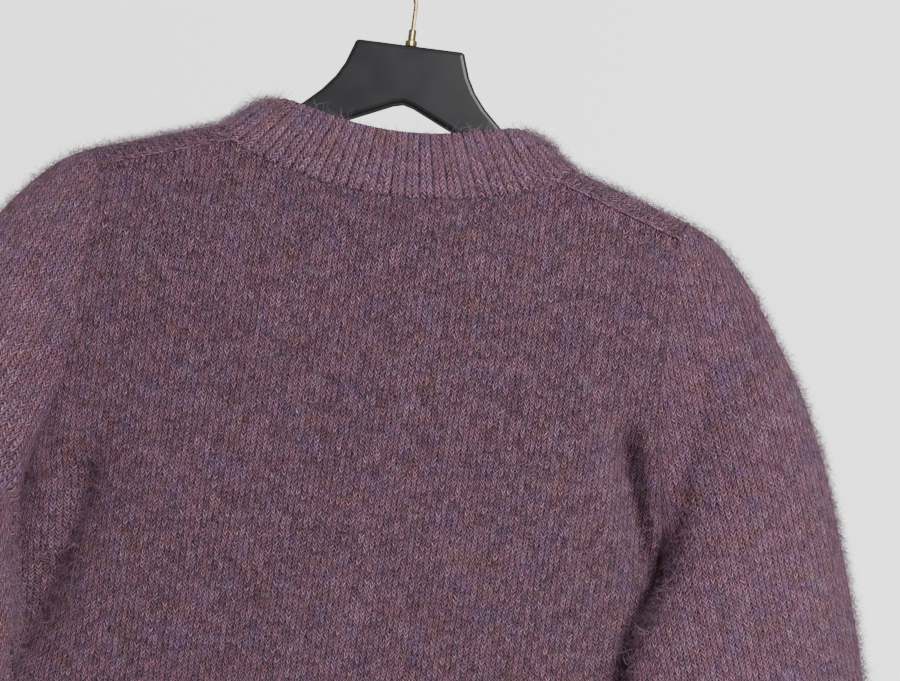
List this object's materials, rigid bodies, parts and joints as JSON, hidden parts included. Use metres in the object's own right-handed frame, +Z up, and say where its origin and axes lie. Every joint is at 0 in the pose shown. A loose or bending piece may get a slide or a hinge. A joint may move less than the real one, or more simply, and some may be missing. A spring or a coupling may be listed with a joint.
{
  "type": "cardigan on a hanger",
  "caption": "Long-sleeved crew-neck cardigan in brushed heather knit, with ribbed neck, cuffs and hem, hung on a moulded black hanger with a brass hook.",
  "frame": {"origin": "where a rail carries the hook, on the inside of its arc at the top", "axes": "+Z up, +Y out of the garment's back, -Y out of its buttoned front, +X towards the wearer's left sleeve"},
  "size_m": [0.7, 0.0952, 0.721],
  "materials": {
    "heather_knit": "brushed plum heather wool knit",
    "rib_knit": "brushed plum heather rib knit",
    "button_shell": "polished dark plum",
    "black_plastic": "satin moulded black",
    "brass": "polished yellow brass"
  },
  "bodies": {
    "root": {"back": "heather_knit", "front_left": "heather_knit", "front_right": "heather_knit", "sleeve_left": "heather_knit", "sleeve_right": "heather_knit", "cuff_left": "rib_knit", "cuff_right": "rib_knit", "neckband": "rib_knit", "hem_back": "rib_knit", "hem_left": "rib_knit", "hem_right": "rib_knit", "button_band": "rib_knit", "buttonhole_band": "rib_knit", "button_1": "button_shell", "button_2": "button_shell", "button_3": "button_shell", "button_4": "button_shell", "button_5": "button_shell", "button_6": "button_shell", "hanger": "black_plastic", "hook": "brass", "ferrule": "brass"}
  },
  "joints": []
}
